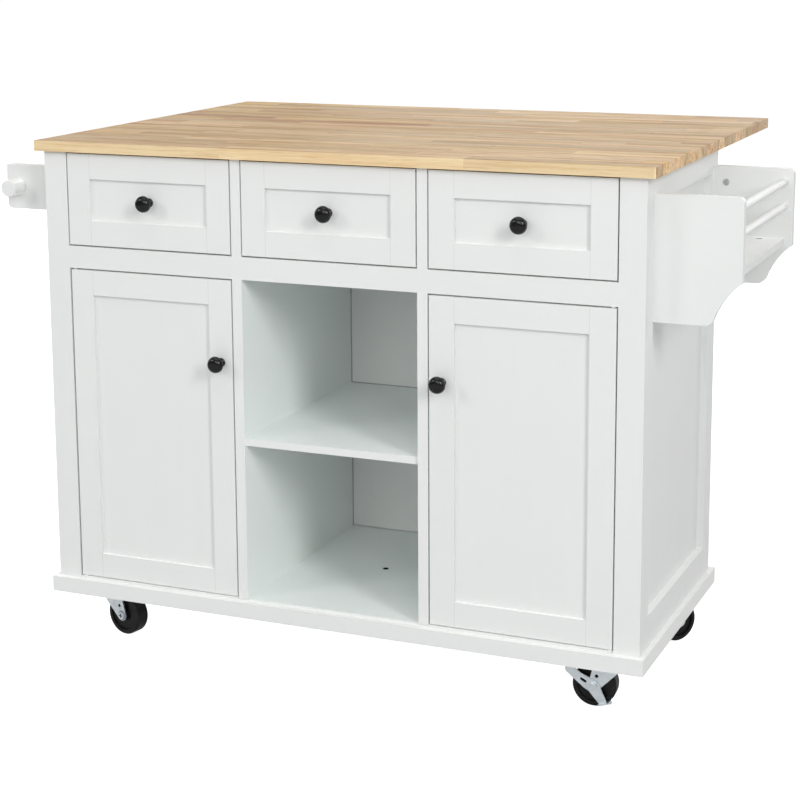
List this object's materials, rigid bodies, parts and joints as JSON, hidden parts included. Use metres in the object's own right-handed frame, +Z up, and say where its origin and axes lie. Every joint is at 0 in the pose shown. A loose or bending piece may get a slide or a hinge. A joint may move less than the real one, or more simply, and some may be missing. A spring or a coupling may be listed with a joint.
{
  "type": "kitchen island cart",
  "caption": "Rolling kitchen island: drawers over framed doors and an open shelf bay, wooden worktop with rear drop leaf, towel rail and spice rack.",
  "frame": {"origin": "centre of the whole object's footprint on the floor", "axes": "+X to the user's right when facing the doors, +Y from the doors to the drop leaf, +Z up"},
  "size_m": [1.34, 0.8392, 0.92],
  "materials": {
    "butcher_block": "oiled satin",
    "white_paint": "satin paint",
    "zinc_plate": "zinc plated",
    "slide_steel": "galvanised",
    "black_knob": "gloss enamel",
    "white_nylon": "moulded nylon",
    "wheel_black": "matte moulded"
  },
  "bodies": {
    "cabinet": {"back_panel": "white_paint", "base_board": "white_paint", "cabinet_slides": "slide_steel", "caster_plates": "zinc_plate", "caster_screws": "zinc_plate", "corner_posts": "white_paint", "dividers": "white_paint", "door_catches": "zinc_plate", "drawer_deck": "white_paint", "floor_panel": "white_paint", "front_rail": "white_paint", "inner_rails": "white_paint", "leaf_hinge_fixed_plates": "zinc_plate", "leaf_support_brackets": "zinc_plate", "outer_rails": "white_paint", "pivot_bushes": "white_nylon", "rack_cam_locks": "zinc_plate", "rack_dowels": "white_paint", "rack_end_boards": "white_paint", "rack_shelf": "white_paint", "shelf_pins": "zinc_plate", "shelves": "white_paint", "side_panels": "white_paint", "towel_brackets": "white_paint", "towel_rod": "white_paint", "worktop": "butcher_block"},
    "leaf": {"drop_leaf": "butcher_block", "leaf_hinge_moving_plates": "zinc_plate", "leaf_support_strips": "zinc_plate"},
    "leaf_struts": {"leaf_support_struts": "zinc_plate"},
    "drawer_1": {"drawer_1_front": "white_paint", "drawer_1_box": "white_paint", "drawer_1_slides": "slide_steel", "drawer_1_knob": "black_knob"},
    "drawer_2": {"drawer_2_front": "white_paint", "drawer_2_box": "white_paint", "drawer_2_slides": "slide_steel", "drawer_2_knob": "black_knob"},
    "drawer_3": {"drawer_3_front": "white_paint", "drawer_3_box": "white_paint", "drawer_3_slides": "slide_steel", "drawer_3_knob": "black_knob"},
    "door_left": {"door_left_frame": "white_paint", "door_left_panel": "white_paint", "door_left_pivot_pins": "zinc_plate", "door_left_knob": "black_knob"},
    "door_right": {"door_right_frame": "white_paint", "door_right_panel": "white_paint", "door_right_pivot_pins": "zinc_plate", "door_right_knob": "black_knob"},
    "fork_fl": {"caster_fl_fork": "zinc_plate"},
    "wheel_fl": {"caster_fl_wheel": "wheel_black"},
    "fork_fr": {"caster_fr_fork": "zinc_plate"},
    "wheel_fr": {"caster_fr_wheel": "wheel_black"},
    "fork_rl": {"caster_rl_fork": "zinc_plate"},
    "wheel_rl": {"caster_rl_wheel": "wheel_black"},
    "fork_rr": {"caster_rr_fork": "zinc_plate"},
    "wheel_rr": {"caster_rr_wheel": "wheel_black"},
    "brake_fr": {"caster_fr_brake": "zinc_plate"},
    "brake_rl": {"caster_rl_brake": "zinc_plate"}
  },
  "joints": [
    {"name": "drawer_1_slide", "type": "slide", "parent": "cabinet", "child": "drawer_1", "axis": [0, -1, 0], "range_m": [0, 0.3]},
    {"name": "drawer_2_slide", "type": "slide", "parent": "cabinet", "child": "drawer_2", "axis": [0, -1, 0], "range_m": [0, 0.3]},
    {"name": "drawer_3_slide", "type": "slide", "parent": "cabinet", "child": "drawer_3", "axis": [0, -1, 0], "range_m": [0, 0.3]},
    {"name": "door_left_hinge", "type": "hinge", "parent": "cabinet", "child": "door_left", "pos_m": [-0.5081, -0.38355, 0.1305], "axis": [0, 0, -1], "range_deg": [0, 100]},
    {"name": "door_right_hinge", "type": "hinge", "parent": "cabinet", "child": "door_right", "pos_m": [0.4761, -0.38355, 0.1305], "axis": [0, 0, 1], "range_deg": [0, 100]},
    {"name": "leaf_hinge", "type": "hinge", "parent": "cabinet", "child": "leaf", "pos_m": [-0.016, 0.09425, 0.8983], "axis": [-1, 0, 0], "range_deg": [0, 90]},
    {"name": "leaf_strut_pivot", "type": "hinge", "parent": "cabinet", "child": "leaf_struts", "pos_m": [-0.016, 0.09055, 0.8283], "axis": [-1, 0, 0], "range_deg": [0, 114.78]},
    {"name": "caster_fl_swivel", "type": "hinge", "parent": "cabinet", "child": "fork_fl", "pos_m": [-0.494, -0.30755, 0.08], "axis": [0, 0, 1], "continuous": true},
    {"name": "caster_fl_spin", "type": "hinge", "parent": "fork_fl", "child": "wheel_fl", "pos_m": [-0.46574, -0.31407, 0.0375], "axis": [0.225, 0.9744, 0], "continuous": true},
    {"name": "caster_fr_swivel", "type": "hinge", "parent": "cabinet", "child": "fork_fr", "pos_m": [0.462, -0.30755, 0.08], "axis": [0, 0, 1], "continuous": true},
    {"name": "caster_fr_spin", "type": "hinge", "parent": "fork_fr", "child": "wheel_fr", "pos_m": [0.43307, -0.30957, 0.0375], "axis": [0.0698, -0.9976, 0], "continuous": true},
    {"name": "caster_fr_brake_lever", "type": "hinge", "parent": "fork_fr", "child": "brake_fr", "pos_m": [0.43307, -0.30957, 0.0375], "axis": [0.0698, -0.9976, 0], "range_deg": [0, 12]},
    {"name": "caster_rl_swivel", "type": "hinge", "parent": "cabinet", "child": "fork_rl", "pos_m": [-0.494, 0.00545, 0.08], "axis": [0, 0, 1], "continuous": true},
    {"name": "caster_rl_spin", "type": "hinge", "parent": "fork_rl", "child": "wheel_rl", "pos_m": [-0.50762, 0.03105, 0.0375], "axis": [-0.8829, -0.4695, 0], "continuous": true},
    {"name": "caster_rl_brake_lever", "type": "hinge", "parent": "fork_rl", "child": "brake_rl", "pos_m": [-0.50762, 0.03105, 0.0375], "axis": [-0.8829, -0.4695, 0], "range_deg": [0, 12]},
    {"name": "caster_rr_swivel", "type": "hinge", "parent": "cabinet", "child": "fork_rr", "pos_m": [0.462, 0.00545, 0.08], "axis": [0, 0, 1], "continuous": true},
    {"name": "caster_rr_spin", "type": "hinge", "parent": "fork_rr", "child": "wheel_rr", "pos_m": [0.47985, 0.0283, 0.0375], "axis": [-0.788, 0.6157, 0], "continuous": true}
  ],
  "couplings": [
    {"joint": "leaf_strut_pivot", "follows": "leaf_hinge", "ratio": 1.2752}
  ]
}
